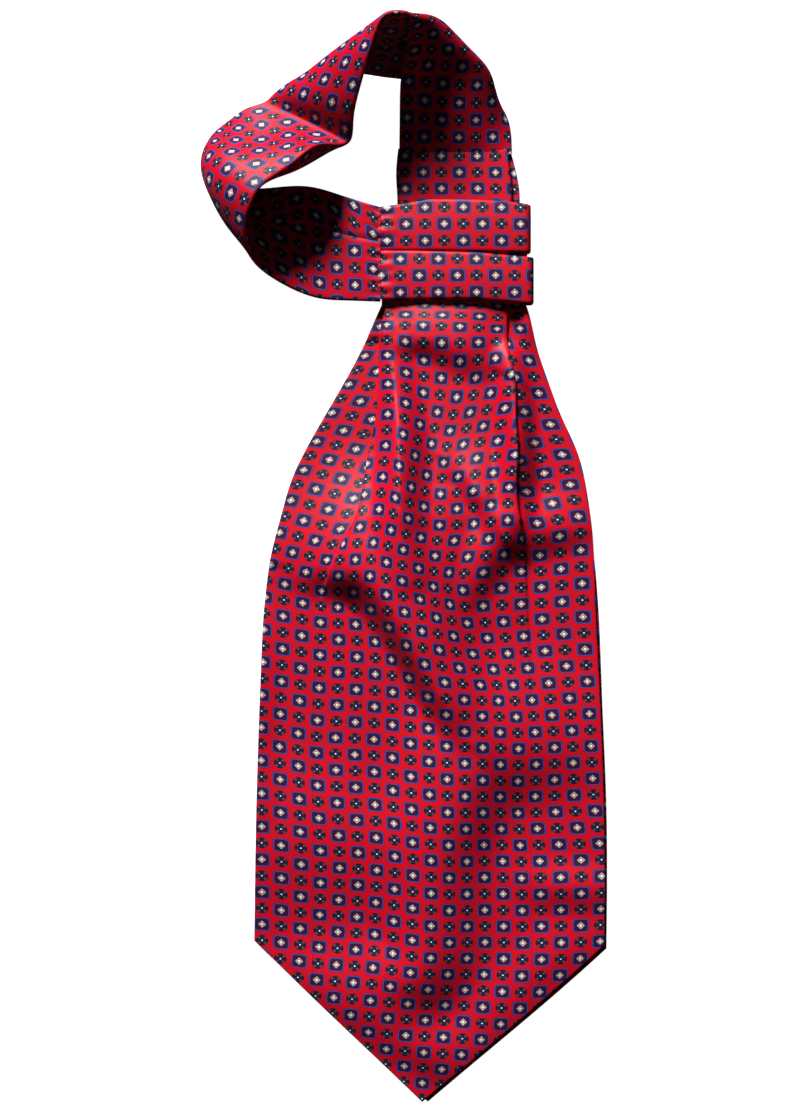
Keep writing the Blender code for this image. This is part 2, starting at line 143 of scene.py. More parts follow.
BladeRow = namedtuple("BladeRow", "y left fold_l fold_r right tuck opening puff vee")
BLADE_ROWS = [
    # y, left edge, left fold, right fold, right edge, tuck, opening, puff, vee
    BladeRow(173.2, -1.6, 0.4, 43.9, 45.9, 20.0, 180, 0.6, 0),
    BladeRow(163.0, -2.5, -0.5, 45.2, 48.6, 20.0, 180, 0.6, 0),
    BladeRow(151.8, -2.0, 0.0, 45.8, 50.0, 20.0, 180, 0.3, 0),
    BladeRow(145.0, -2.2, -0.2, 45.0, 49.4, 20.0, 180, 0.0, 0),
    BladeRow(113.0, -6.0, -4.4, 44.2, 50.2, 20.0, 180, 0.0, 0),
    BladeRow(105.6, -9.3, -6.4, 44.1, 53.0, 20.0, 180, 0.2, 0),
    BladeRow(91.4, -15.6, -9.0, 43.9, 56.6, 19.5, 180, 0.9, 0),
    BladeRow(74.6, -24.4, -9.0, 47.0, 62.2, 15.5, 180, 0.9, 0),
    BladeRow(59.8, -33.0, -10.3, 47.3, 67.8, 12.0, 180, 1.5, 0),
    BladeRow(45.6, -41.0, -13.2, 48.0, 74.2, 8.5, 178, 1.7, 0),
    BladeRow(31.0, -47.6, -15.6, 47.4, 78.0, 4.0, 174, 1.8, 0),
    BladeRow(22.0, -50.2, -17.2, 48.0, 79.4, 1.2, 158, 2.0, 0),
    BladeRow(12.0, -52.9, -21.0, 49.6, 80.7, 0.2, 100, 2.2, 1),
    BladeRow(0.0, -55.8, -27.6, 50.9, 81.6, 0.0, 62, 2.6, 4),
    BladeRow(-12.0, -57.6, -32.0, 51.5, 82.0, 0.0, 38, 2.8, 6),
    BladeRow(-26.0, -58.9, -34.6, 52.1, 82.5, 0.0, 20, 2.8, 10),
    BladeRow(-44.0, -59.7, -35.6, 52.7, 83.4, 0.0, 8, 2.6, 14),
    BladeRow(-70.0, -60.7, -36.1, 53.3, 84.6, 0.0, 0, 2.0, 22),
    BladeRow(-105.0, -61.7, -36.2, 53.4, 85.8, 0.0, 0, 1.1, 36),
    BladeRow(-163.4, -62.8, -36.4, 53.6, 86.0, 0.0, 0, 0.0, TIP_DROP),
]

BackRow = namedtuple("BackRow", "y left right vee")
BACK_ROWS = [
    BackRow(147.0, 2.0, 43.4, 0),
    BackRow(112.0, -1.0, 44.4, 0),
    BackRow(91.0, -11.0, 53.0, 0),
    BackRow(60.0, -27.0, 64.5, 0),
    BackRow(30.0, -42.0, 76.0, 0),
    BackRow(3.0, -51.0, 81.4, 3),
    BackRow(-60.0, -57.5, 85.2, 18),
    BackRow(-105.0, -59.0, 87.0, 36),
    BackRow(-164.6, -60.0, 87.0, TIP_DROP - BACK_TIP_RISE),
]

# Crossing of the second blade over the neck: its top edge, both sides of the split, its bottom edge
CrossRow = namedtuple("CrossRow", "x top split_top split_bottom bottom")
CROSS_ROWS = [
    CrossRow(-8.6, 147.9, 129.55, 129.5, 109.0),
    CrossRow(5.5, 150.1, 129.55, 129.45, 109.1),
    CrossRow(12.0, 151.1, 129.6, 129.2, 109.2),
    CrossRow(31.0, 150.8, 129.2, 128.6, 109.2),
    CrossRow(44.0, 150.3, 129.0, 127.6, 108.2),
    CrossRow(54.0, 149.0, 128.9, 126.8, 107.2),
]

# Neckband sections, from the front blade's seam round the loop to the crossing.
# rim = raised long edge, bend = pull point of the curved section, foot = edge on the table,
# puff = how far its outer side swells at the rim
BandRow = namedtuple(
    "BandRow", "rim_x rim_y rim_z bend_x bend_y bend_z foot_x foot_y foot_z puff"
)
BAND_ROWS = [
    BandRow(-1.2, 171.0, 6.4, 23.0, 171.0, 6.6, 46.6, 171.0, 4.4, 0),
    BandRow(-1.0, 185.7, 10.5, 39.0, 189.5, 16.2, 43.5, 188.0, 1.4, 0),
    BandRow(-0.5, 200.0, 18.5, 53.0, 205.8, 21.2, 30.0, 199.0, 1.2, 0),
    BandRow(1.0, 206.6, 25.5, 50.5, 213.6, 24.0, 19.5, 202.0, 1.2, 0),
    BandRow(2.5, 213.4, 33.0, 40.0, 223.4, 27.0, 7.5, 203.0, 1.2, 0),
    BandRow(3.0, 218.0, 39.5, 25.5, 230.4, 28.5, -1.0, 203.6, 1.2, 0),
    BandRow(1.0, 221.1, 43.0, 3.2, 220.6, 29.0, -8.5, 204.6, 1.2, 0),
    BandRow(-4.0, 221.1, 44.0, -6.5, 218.2, 28.0, -13.0, 205.4, 1.2, 0),
    BandRow(-8.5, 218.2, 43.5, -16.0, 221.5, 22.0, -18.5, 206.0, 1.2, 0),
    BandRow(-11.9, 209.5, 41.0, -31.5, 216.5, 21.0, -26.5, 206.0, 1.2, 0),
    BandRow(-14.5, 201.5, 37.0, -41.0, 209.5, 19.0, -35.0, 204.6, 1.2, 0),
    BandRow(-17.5, 192.5, 31.0, -47.5, 202.0, 16.0, -44.5, 202.2, 1.2, 0),
    BandRow(-20.1, 182.5, 23.0, -51.5, 195.0, 12.0, -53.5, 197.0, 1.2, 0),
    BandRow(-21.6, 174.5, 15.0, -42.5, 185.5, 10.0, -59.0, 193.2, 1.2, 0),
    BandRow(-27.2, 171.2, 16.0, -51.0, 184.5, 11.0, -66.0, 190.6, 1.2, 1.5),
    BandRow(-36.2, 164.8, 23.0, -61.5, 180.5, 14.0, -72.0, 186.5, 1.2, 7.5),
    BandRow(-46.1, 158.4, 30.0, -74.0, 175.0, 20.0, -78.6, 181.0, 1.2, 4.0),
    BandRow(-56.6, 152.7, 35.0, -85.5, 168.0, 26.0, -82.0, 175.6, 1.2, 0),
    BandRow(-61.5, 145.5, 35.0, -89.0, 158.5, 24.0, -82.6, 170.0, 1.2, 0),
    BandRow(-64.0, 138.0, 31.5, -85.5, 148.5, 19.0, -80.0, 164.5, 1.2, 0),
    BandRow(-64.0, 130.0, 26.0, -77.5, 139.0, 13.0, -75.5, 160.0, 1.2, 0),
    BandRow(-61.2, 123.4, 20.0, -67.5, 138.5, 8.5, -68.5, 157.6, 1.2, 0),
    BandRow(-54.3, 117.4, 15.0, -57.5, 136.0, 7.0, -58.5, 157.0, 1.4, 0),
    BandRow(-38.5, 110.0, 10.5, -39.5, 134.5, 6.5, -41.0, 157.6, 3.4, 0),
    BandRow(-24.0, 108.4, 8.8, -24.4, 131.0, 7.2, -25.0, 153.0, 6.4, 0),
    BandRow(-9.1, 107.9, 8.6, -9.1, 128.5, 8.6, -9.1, 147.8, 8.6, 0),
]

# Where the print's columns lie across the front blade: on its left wing, its raised panel and its
# right wing. The number after each letter counts the columns from the left edge.
ColumnRow = namedtuple("ColumnRow", "y l0 l3 p3 p6 p9 p12 p15 r15 r18")
COLUMN_ROWS = [
    ColumnRow(172.8, 0.0, 23.7, -29.3, -6.4, 16.5, 39.4, 62.3, 25.4, 47.5),
    ColumnRow(105.4, -7.6, 17.0, -29.3, -5.9, 17.4, 40.7, 62.3, 26.3, 48.8),
    ColumnRow(97.7, -9.3, 16.1, -29.7, -6.4, 16.5, 40.3, 61.9, 28.0, 50.0),
    ColumnRow(82.5, -17.4, 8.9, -29.7, -5.9, 17.0, 39.6, 61.1, 30.5, 54.1),
    ColumnRow(67.6, -26.1, 1.3, -29.3, -5.5, 16.1, 37.1, 59.8, 31.4, 58.7),
    ColumnRow(54.1, -34.1, -5.9, -29.3, -5.9, 13.6, 33.9, 56.4, 33.9, 64.0),
    ColumnRow(40.9, -40.1, -13.1, -30.5, -7.0, 11.0, 31.2, 55.1, 39.0, 69.1),
    ColumnRow(27.3, -46.0, -19.5, -31.0, -8.3, 9.3, 29.9, 52.2, 42.8, 72.3),
    ColumnRow(14.2, -50.9, -24.8, -32.2, -10.2, 8.5, 30.5, 51.3, 48.1, 75.5),
    ColumnRow(2.3, -54.1, -30.7, -32.2, -12.7, 6.8, 28.2, 50.5, 49.6, 75.9),
    ColumnRow(-10.8, -57.7, -33.7, -33.7, -13.6, 6.8, 25.0, 50.5, 50.5, 76.5),
    ColumnRow(-23.1, -58.5, -34.3, -34.3, -12.9, 8.1, 26.5, 50.5, 50.5, 76.7),
    ColumnRow(-37.1, -58.7, -34.6, -34.6, -11.0, 8.5, 28.8, 51.9, 51.9, 77.6),
    ColumnRow(-56.2, -59.4, -35.2, -35.2, -11.4, 11.0, 33.5, 54.3, 54.3, 78.9),
    ColumnRow(-79.5, -59.8, -36.5, -36.5, -11.9, 11.4, 33.9, 56.8, 56.8, 80.1),
    ColumnRow(-102.8, -59.4, -35.6, -35.6, -11.4, 11.7, 33.9, 56.4, 56.4, 81.4),
    ColumnRow(-128.3, -59.4, -34.3, -34.3, -10.4, 12.3, 34.8, 58.5, 58.5, 84.8),
    ColumnRow(-166.4, -59.4, -35.2, -35.2, -11.7, 12.3, 35.2, 59.4, 59.4, 84.0),
    ColumnRow(-195.7, -61.5, -37.3, -37.3, -14.0, 9.8, 34.1, 57.7, 57.7, 82.0),
    ColumnRow(-225.8, -63.0, -39.0, -39.0, -15.3, 8.5, 32.2, 56.0, 56.0, 80.0),
]

# Height at which each row of the print crosses columns 0, 3, 6, 8, 10, 12, 14, 16 and 18
LINE_COLUMNS = (0, 3, 6, 8, 10, 12, 14, 16, 18)
PrintLine = namedtuple("PrintLine", "row c0 c3 c6 c8 c10 c12 c14 c16 c18")
PRINT_LINES = [
    PrintLine(-13, 183.4, 183.4, 183.4, 183.4, 183.4, 183.4, 183.4, 183.4, 183.4),
    PrintLine(-9, 156.3, 156.3, 156.3, 156.3, 156.3, 156.3, 156.3, 156.3, 156.3),
    PrintLine(-2, 107.5, 107.1, 107.1, 106.6, 106.6, 106.2, 106.2, 106.6, 107.5),
    PrintLine(0, 98.2, 98.6, 98.6, 98.2, 97.7, 96.7, 96.9, 97.3, 97.3),
    PrintLine(1, 91.6, 91.8, 91.8, 90.5, 90.5, 91.4, 90.9, 90.3, 90.5),
    PrintLine(5, 67.6, 63.8, 67.2, 62.8, 60.2, 62.5, 63.4, 60.0, 63.0),
    PrintLine(11, 31.2, 24.8, 27.3, 22.7, 19.9, 21.2, 22.9, 21.2, 24.6),
    PrintLine(18, -16.7, -20.6, -21.8, -22.7, -25.2, -27.8, -27.3, -26.1, -25.2),
    PrintLine(26, -71.9, -76.1, -77.0, -78.7, -79.5, -79.9, -80.8, -80.3, -79.9),
    PrintLine(36, -141.8, -144.8, -146.1, -147.8, -149.0, -149.5, -149.9, -149.5, -149.0),
    PrintLine(44, -196.9, -199.5, -201.0, -202.2, -203.3, -204.4, -205.0, -205.0, -204.6),
    PrintLine(48, -223.2, -226.2, -227.5, -229.2, -230.4, -230.9, -231.3, -230.9, -230.4),
]

# Soft folds of the front blade. Each is a crest through a few places, with the height there and
# the distance over which each side, seen along the crest, falls away.
FoldRow = namedtuple("FoldRow", "x y left right height")
BLADE_FOLDS = {
    "neck_bump": [
        FoldRow(-3.0, 92.8, 40.0, 9.5, 1.0),
        FoldRow(3.0, 92.4, 48.0, 9.5, 3.2),
        FoldRow(11.0, 91.8, 48.0, 10.0, 3.8),
        FoldRow(19.0, 90.0, 46.0, 12.0, 3.8),
        FoldRow(27.0, 87.0, 42.0, 13.0, 3.5),
        FoldRow(34.0, 83.0, 34.0, 11.5, 1.6),
    ],
    "panel_left": [
        FoldRow(-6.0, 94.0, 10.0, 4.0, 1.2),
        FoldRow(-3.6, 71.0, 14.0, 8.0, 5.6),
        FoldRow(-1.8, 50.0, 15.0, 10.5, 9.4),
        FoldRow(-1.4, 30.5, 15.0, 12.5, 9.2),
        FoldRow(-0.5, 11.0, 14.0, 14.0, 5.2),
        FoldRow(3.0, -7.0, 12.0, 12.0, 1.8),
    ],
    "panel_middle": [
        FoldRow(20.0, 39.0, 16.0, 6.5, 0.6),
        FoldRow(26.5, 34.0, 24.0, 6.5, 2.8),
        FoldRow(31.5, 27.0, 24.0, 7.0, 4.2),
        FoldRow(36.0, 20.0, 24.0, 7.0, 4.2),
        FoldRow(39.5, 13.0, 18.0, 8.0, 1.6),
    ],
    "panel_right": [
        FoldRow(45.0, 84.5, 9.0, 9.5, 3.6),
        FoldRow(46.8, 72.0, 11.0, 11.0, 6.6),
        FoldRow(47.8, 58.0, 11.0, 11.0, 8.2),
        FoldRow(48.4, 45.6, 11.0, 11.0, 9.0),
        FoldRow(49.0, 32.0, 11.0, 11.5, 7.6),
        FoldRow(49.6, 19.0, 10.0, 11.0, 2.6),
    ],
    "slanting": [
        FoldRow(-45.4, -3.4, 34.0, 14.0, 1.2),
        FoldRow(-34.8, -3.9, 48.0, 16.5, 5.4),
        FoldRow(-24.2, -4.6, 62.0, 17.5, 8.8),
        FoldRow(-14.0, -8.8, 64.0, 16.0, 10.4),
        FoldRow(-5.4, -20.5, 54.0, 13.5, 10.8),
        FoldRow(2.6, -34.0, 42.0, 12.5, 10.8),
        FoldRow(8.0, -43.6, 35.0, 12.0, 10.4),
        FoldRow(14.6, -55.6, 31.0, 12.0, 9.0),
        FoldRow(21.6, -66.6, 27.0, 12.0, 5.4),
        FoldRow(27.0, -75.0, 20.0, 12.0, 1.4),
    ],
    "right_wing": [
        FoldRow(84.0, 15.9, 10.0, 24.0, 0.3),
        FoldRow(73.4, 12.9, 12.0, 23.0, 2.0),
        FoldRow(60.6, 11.7, 16.0, 22.0, 3.9),
        FoldRow(48.5, 10.8, 18.0, 19.0, 4.9),
        FoldRow(40.3, 6.3, 16.0, 16.5, 4.7),
        FoldRow(34.3, -4.3, 13.0, 13.0, 3.4),
        FoldRow(29.7, -16.0, 9.0, 10.0, 0.9),
    ],
    "sweeping": [
        FoldRow(86.5, -78.2, 24.0, 40.0, 0.6),
        FoldRow(67.0, -79.5, 29.0, 50.0, 2.8),
        FoldRow(50.0, -80.3, 33.0, 54.0, 5.2),
        FoldRow(36.5, -83.7, 33.0, 48.0, 6.2),
        FoldRow(28.0, -93.0, 30.0, 44.0, 6.6),
        FoldRow(23.0, -105.0, 28.0, 42.0, 6.6),
        FoldRow(19.0, -116.0, 27.0, 42.0, 6.6),
        FoldRow(16.0, -127.0, 27.0, 42.0, 6.6),
        FoldRow(13.5, -141.0, 29.0, 37.0, 6.4),
        FoldRow(12.0, -156.0, 29.0, 31.0, 6.2),
        FoldRow(9.5, -170.0, 28.0, 28.0, 6.4),
        FoldRow(3.0, -178.0, 26.0, 28.0, 6.0),
        FoldRow(-8.0, -181.0, 24.0, 28.0, 4.2),
        FoldRow(-22.0, -179.5, 21.0, 26.0, 2.4),
        FoldRow(-41.1, -174.0, 15.0, 20.0, 0.8),
    ],
    "lower_right": [
        FoldRow(84.8, -141.0, 14.0, 15.0, 1.8),
        FoldRow(69.1, -140.1, 14.0, 16.0, 2.2),
        FoldRow(54.3, -138.9, 12.0, 14.0, 1.0),
    ],
    "right_hem": [
        FoldRow(75.5, -164.3, 14.0, 20.0, 0.9),
        FoldRow(60.6, -173.0, 16.0, 20.0, 1.5),
        FoldRow(43.7, -190.5, 18.0, 20.0, 1.7),
        FoldRow(30.8, -203.5, 18.0, 18.0, 1.5),
    ],
    "left_hem": [
        FoldRow(-38.0, -181.0, 18.0, 12.0, 0.8),
        FoldRow(-26.0, -190.0, 18.0, 14.0, 1.7),
        FoldRow(-12.0, -198.0, 18.0, 15.0, 2.4),
        FoldRow(2.0, -205.0, 20.0, 16.0, 2.8),
        FoldRow(14.0, -211.0, 22.0, 15.0, 2.7),
        FoldRow(22.0, -215.0, 20.0, 14.0, 1.8),
    ],
    "left_low": [
        FoldRow(-66.0, -121.0, 48.0, 42.0, 2.0),
        FoldRow(-45.0, -121.0, 48.0, 42.0, 2.4),
        FoldRow(-25.0, -120.0, 44.0, 40.0, 2.0),
        FoldRow(-8.0, -118.0, 34.0, 32.0, 1.0),
        FoldRow(5.0, -116.0, 24.0, 22.0, 0.2),
    ],
    "left_edge": [
        FoldRow(-62.0, -28.0, 12.0, 10.0, 1.0),
        FoldRow(-62.5, -48.0, 14.0, 10.0, 2.2),
        FoldRow(-63.0, -75.0, 14.0, 10.0, 2.0),
        FoldRow(-63.5, -105.0, 14.0, 10.0, 1.2),
    ],
    "right_tuck": [
        FoldRow(52.5, 108.0, 6.0, 6.0, 2.6),
        FoldRow(53.0, 101.0, 6.5, 6.0, 3.2),
        FoldRow(54.5, 93.0, 7.0, 6.0, 1.8),
        FoldRow(57.0, 86.0, 7.0, 6.0, 0.3),
    ],
    "neck_edge": [
        FoldRow(16.0, 110.0, 6.0, 9.0, 0.1),
        FoldRow(27.0, 109.0, 6.0, 12.0, 0.5),
        FoldRow(37.0, 108.0, 6.0, 13.0, 0.9),
        FoldRow(45.0, 107.0, 6.0, 10.0, 0.5),
    ],
}
CREST_PIECES = 6
CREST_BLEND = 1.5


def srgb(red, green, blue):
    """Linear colour from 8-bit screen values, by the formula of the sRGB standard."""
    return tuple(
        part / 12.92 if part <= 0.04045 else ((part + 0.055) / 1.055) ** 2.4
        for part in (red / 255, green / 255, blue / 255)
    ) + (1.0,)


RED = srgb(208, 8, 34)
BAND_BLUE = srgb(62, 80, 168)
OUTLINE = srgb(38, 18, 62)
AUBERGINE = srgb(58, 16, 50)
GREY = srgb(184, 174, 168)
WHITE = srgb(246, 243, 238)
RING = srgb(74, 50, 66)
NAVY = srgb(24, 26, 62)
ORANGE = srgb(126, 60, 34)


# ---- Frame placing -------------------------------------------------------------------------

BACK_LOW, BACK_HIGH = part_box("blade_back")
SHIFT = np.array(
    [BACK_LOW.x / MM - BACK_ROWS[-1].left, BACK_HIGH.y / MM - BACK_ROWS[0].y, 0.0]
)


def place(points):
    """Points of the cloth's layout, in the frame and in metres."""
    return (np.asarray(points, float) + SHIFT) * MM


# ---- Forms ---------------------------------------------------------------------------------

def smooth_through(rows, knots, where):
    """Natural cubic through the rows at their knots, read at other places."""
    rows = np.asarray(rows, float)
    knots = np.asarray(knots, float)
    count = len(rows)
    step = np.diff(knots)
    system = np.eye(count)
    right = np.zeros_like(rows)
    for i in range(1, count - 1):
        system[i, i - 1] = step[i - 1]
        system[i, i] = 2 * (step[i - 1] + step[i])
        system[i, i + 1] = step[i]
        rise = (rows[i + 1] - rows[i]) / step[i] - (rows[i] - rows[i - 1]) / step[i - 1]
        right[i] = 6 * rise
    curve = np.linalg.solve(system, right)
    span = np.clip(np.searchsorted(knots, where, side="right") - 1, 0, count - 2)
    width = step[span][:, None]
    b = (np.asarray(where) - knots[span])[:, None] / width
    a = 1 - b
    bend = (a**3 - a) * curve[span] + (b**3 - b) * curve[span + 1]
    return a * rows[span] + b * rows[span + 1] + bend * width**2 / 6


def bell(value):
    return np.exp(-(value**2))


def rounded_fall(share):
    """1 on the crest, falling smoothly to 0 where share reaches 1."""
    return 0.5 * (1 + np.cos(np.pi * np.clip(share, 0, 1)))


def dense_crest(rows):
    """The crest of one fold as a smooth line of many short pieces."""
    knots = np.arange(len(rows), dtype=float)
    where = np.linspace(0, len(rows) - 1, CREST_PIECES * (len(rows) - 1) + 1)
    return smooth_through(rows, knots, where)


BLADE_CRESTS = [dense_crest(rows) for rows in BLADE_FOLDS.values()]


def fold_height(x, y, crests):
    """Sum of the soft folds at each place. Past its two ends a crest falls away as its sides do."""
    total = np.zeros_like(x)
    for crest in crests:
        start, step = crest[:-1], np.diff(crest, axis=0)
        piece = np.linalg.norm(step[:, :2], axis=1)
        way = step[:, :2] / piece[:, None]
        out_x = x[:, None] - start[None, :, 0]
        out_y = y[:, None] - start[None, :, 1]
        run = np.clip((out_x * way[:, 0] + out_y * way[:, 1]) / piece, 0, 1)
        off_x, off_y = out_x - run * step[:, 0], out_y - run * step[:, 1]
        away = np.hypot(off_x, off_y)
        leftward = way[:, 0] * out_y - way[:, 1] * out_x > 0
        left, right, height = (start[:, k] + run * step[:, k] for k in (2, 3, 4))
        level = height * rounded_fall(away / np.where(leftward, left, right))
        weight = np.exp(-(away - away.min(axis=1, keepdims=True)) / CREST_BLEND)
        total += (level * weight).sum(axis=1) / weight.sum(axis=1)
    return total


def puckers(along, away):
    """Small ripples of the cloth where a sewn seam draws it in."""
    turn = 2 * np.pi * along / PUCKER_PITCH
    ripple = np.sin(turn) + PUCKER_SECOND * np.sin(turn / PUCKER_STRETCH)
    return PUCKER_DEPTH * ripple * bell(away / PUCKER_REACH)


def lengths(line):
    """Running length along a line of points."""
    steps = np.linalg.norm(np.diff(line, axis=0), axis=1)
    return np.concatenate([[0], np.cumsum(steps)])


def with_edges(values):
    """The values, with a few more close to both ends, so that an edge can be rounded."""
    values = np.asarray(values, float)
    way = np.sign(values[-1] - values[0])
    steps = np.array(EDGE_STEPS) * way
    from_ends = np.minimum(np.abs(values - values[0]), np.abs(values - values[-1]))
    inner = values[from_ends > EDGE_CLEAR]
    start, end = values[:1], values[-1:]
    return np.concatenate([start, start + steps, inner, end - steps[::-1], end])


def edged_run(width, count):
    """Distances from a rounded edge to width, closer together near the edge."""
    steps = np.array((0.0,) + EDGE_STEPS) * min(1.0, width / EDGE_SHARE)
    return np.concatenate([steps, np.linspace(steps[-1], width, count + 1)[1:]])


def unit(vectors):
    """Each vector of a grid, one unit long."""
    return vectors / (np.linalg.norm(vectors, axis=2, keepdims=True) + TINY)


def normals(grid):
    """Unit normals of a grid of points."""
    return unit(np.cross(np.gradient(grid, axis=0), np.gradient(grid, axis=1)))


def grid_run(grid, axis):
    """Running length of each line of a grid of points along one axis."""
    steps = np.linalg.norm(np.diff(grid, axis=axis), axis=2)
    return np.insert(np.cumsum(steps, axis=axis), 0, 0.0, axis=axis)


def rounded_half(half, near):
    """Half a thickness that rounds off where near, the closeness to a rim, goes from 0 to 1."""
    return half * np.sqrt(np.maximum(1 - near**2, RIM_LEAST))


def grid_faces(index):
    """The four-sided faces between the points of a grid."""
    a, b, c, d = index[:-1, :-1], index[1:, :-1], index[1:, 1:], index[:-1, 1:]
    return np.stack([a, b, c, d], axis=-1).reshape(-1, 4)


def add_mesh(name, points, faces, uv, material):
    """A smooth object from points of the layout, with the print's coordinates at each point."""
    mesh = bpy.data.meshes.new(name)
    mesh.from_pydata(place(points).tolist(), [], faces.tolist())
    layer = mesh.uv_layers.new(name=PRINT_LAYER)
    layer.data.foreach_set("uv", uv[faces.reshape(-1)].astype(np.float32).ravel())
    mesh.materials.append(material)
    mesh.shade_smooth()
    obj = bpy.data.objects.new(name, mesh)
    bpy.context.scene.collection.objects.link(obj)
    return obj


def cloth(name, middle, uv, thickness, material):
    """Closes a grid of middle-surface points into a thin cloth with rounded edges."""
    middle = np.asarray(middle, float)
    normal = normals(middle)
    across, along = grid_run(middle, 1), grid_run(middle, 0)
    edge = np.minimum.reduce([across, across[:, -1:] - across, along, along[-1:] - along])
    near = 1 - np.clip(edge / RIM_ROUND, 0, 1)
    half = rounded_half(thickness / 2, near)[..., None]
    upper = middle + normal * half
    lower = middle - normal * half
    lower[..., 2] = np.maximum(lower[..., 2], FLOOR_GAP)
    upper[..., 2] = np.maximum(upper[..., 2], 2 * FLOOR_GAP)
    index = np.arange(middle[..., 0].size).reshape(middle.shape[:2])
    top = grid_faces(index)
    bottom = top[:, ::-1] + index.size
    rim = np.concatenate(
        [index[:, 0], index[-1, 1:], index[-2::-1, -1], index[0, -2:0:-1]]
    )
    following = np.roll(rim, -1)
    wall = np.stack([following, rim, rim + index.size, following + index.size], axis=-1)
    faces = np.concatenate([top, bottom, wall])
    points = np.concatenate([upper.reshape(-1, 3), lower.reshape(-1, 3)])
    uv = np.asarray(uv, float).reshape(-1, 2)
    return add_mesh(name, points, faces, np.concatenate([uv, uv]), material)


# ---- Front blade ---------------------------------------------------------------------------

LEFT_WING, PANEL, RIGHT_WING = range(3)
WING_POINTS = 22
PANEL_POINTS = 76
TURN_PIECES = 6
TUCK_PIECES = 5
LEAST_OPENING = 1.0


def pleat_turns(x, z, tuck, opening, side):
    """Middle line of one pleat, from the lower cloth to the upper, as (x, z) points.

    The cloth turns up through the opening angle, runs back by the tuck, and turns on again.
    side is 1 where the upper cloth lies to the right, and -1 where it lies to the left.
    """
    angle = math.radians(max(opening, LEAST_OPENING))
    chord = 2 * math.pi * PLEAT_TURN / angle * math.sin(angle / TURN_PIECES / 2)
    turn = angle / TURN_PIECES
    bends = [turn * (k + 0.5) for k in range(TURN_PIECES)]
    legs = [(chord, bend) for bend in bends]
    legs += [(tuck / TUCK_PIECES, angle)] * TUCK_PIECES
    legs += [(chord, bend) for bend in bends[::-1]]
    path = [(0.0, 0.0)]
    for length, heading in legs:
        run, rise = path[-1]
        path.append((run + length * math.cos(heading), rise + length * math.sin(heading)))
    end_run, end_rise = path[-1]
    return [(x + side * (run - end_run), z + rise) for run, rise in path], end_rise


def blade_section(row):
    """Points across the front blade at one row, left edge to right edge, before its relief."""
    left, rise_l = pleat_turns(row.fold_l, BLADE_REST, row.tuck, row.opening, 1)
    right, rise_r = pleat_turns(row.fold_r, BLADE_REST, row.tuck, row.opening, -1)
    first, last = left[0][0], right[0][0]
    wing = edged_run(first - row.left, WING_POINTS)[:-1]
    points = [(row.left + run, BLADE_REST) for run in wing]
    spans = [len(points)]
    points += left
    spans.append(len(points))
    for k in range(1, PANEL_POINTS):
        share = k / PANEL_POINTS
        crown = row.puff * math.sin(math.pi * share)
        height = BLADE_REST + rise_l * (1 - share) + rise_r * share + crown
        points.append((row.fold_l + (row.fold_r - row.fold_l) * share, height))
    spans.append(len(points))
    points += list(reversed(right))
    spans.append(len(points))
    wing = edged_run(row.right - last, WING_POINTS)[-2::-1]
    points += [(row.right - run, BLADE_REST) for run in wing]
    return np.array(points), spans


def hem_drop(x, left, right, tip):
    """How far a row hangs below its corners: 1 at the tip, 0 at the left edge.

    The right hem slants, so its share at the right edge stays a little over 0.
    """
    share = np.where(x < tip, (x - left) / (tip - left), (right - x) / (right - tip))
    share = np.clip(share, 0, 1)
    over = np.clip((x - tip) / (right - tip), 0, 1)
    slant = HEM_SLANT * over + HEM_BULGE * 4 * over * (1 - over) * over
    return share + slant / TIP_DROP


def extended(x, xs, values):
    """Linear interpolation that carries its end slopes on outside the table."""
    inside = np.interp(x, xs, values)
    low = (x - xs[0]) * (values[1] - values[0]) / (xs[1] - xs[0])
    high = (x - xs[-1]) * (values[-1] - values[-2]) / (xs[-1] - xs[-2])
    return inside + np.where(x < xs[0], low, 0) + np.where(x > xs[-1], high, 0)


COLUMN_KNOTS = -np.array([row.y for row in COLUMN_ROWS])
COLUMN_PLACES = np.array([row[1:] for row in COLUMN_ROWS])

# Which places of COLUMN_ROWS lie on each part of the front blade, and which columns they are
PartPrint = namedtuple("PartPrint", "places columns")
PART_PRINTS = {
    LEFT_WING: PartPrint([0, 1], [0, 3]),
    PANEL: PartPrint([2, 3, 4, 5, 6], [3, 6, 9, 12, 15]),
    RIGHT_WING: PartPrint([7, 8], [15, 18]),
}


def columns_at(y):
    """Places of the print's columns at each height, as in COLUMN_ROWS."""
    return np.stack([np.interp(-y, COLUMN_KNOTS, places) for places in COLUMN_PLACES.T], axis=-1)


def column_number(x, y, part):
    """The print's column at each point of one part of the front blade."""
    chosen, numbers = PART_PRINTS[part]
    places = columns_at(y)[:, chosen]
    found = [extended(x[i : i + 1], places[i], numbers)[0] for i in range(len(x))]
    return np.array(found)


def row_number(column, y):
    """The print's row at each point, from its column and its height."""
    lines = np.stack([np.interp(column, LINE_COLUMNS, line[1:]) for line in PRINT_LINES], axis=-1)
    numbers = np.array([line.row for line in PRINT_LINES], float)
    found = [extended(-y[i : i + 1], -lines[i], numbers)[0] for i in range(len(y))]
    return np.array(found)


def blade_print(points, y, spans):
    """Print column and row at each point across one row of the front blade."""
    x = points[:, 0]
    column = np.zeros(len(x))
    a, b, c, d = spans
    column[:a] = column_number(x[:a], y[:a], LEFT_WING)
    column[b:c] = column_number(x[b:c], y[b:c], PANEL)
    column[d:] = column_number(x[d:], y[d:], RIGHT_WING)
    run = lengths(points)
    for low, high in ((a - 1, b), (c - 1, d)):
        share = (run[low + 1 : high] - run[low]) / (run[high] - run[low])
        column[low + 1 : high] = column[low] + (column[high] - column[low]) * share
    return np.stack([column, row_number(column, y)], axis=-1)


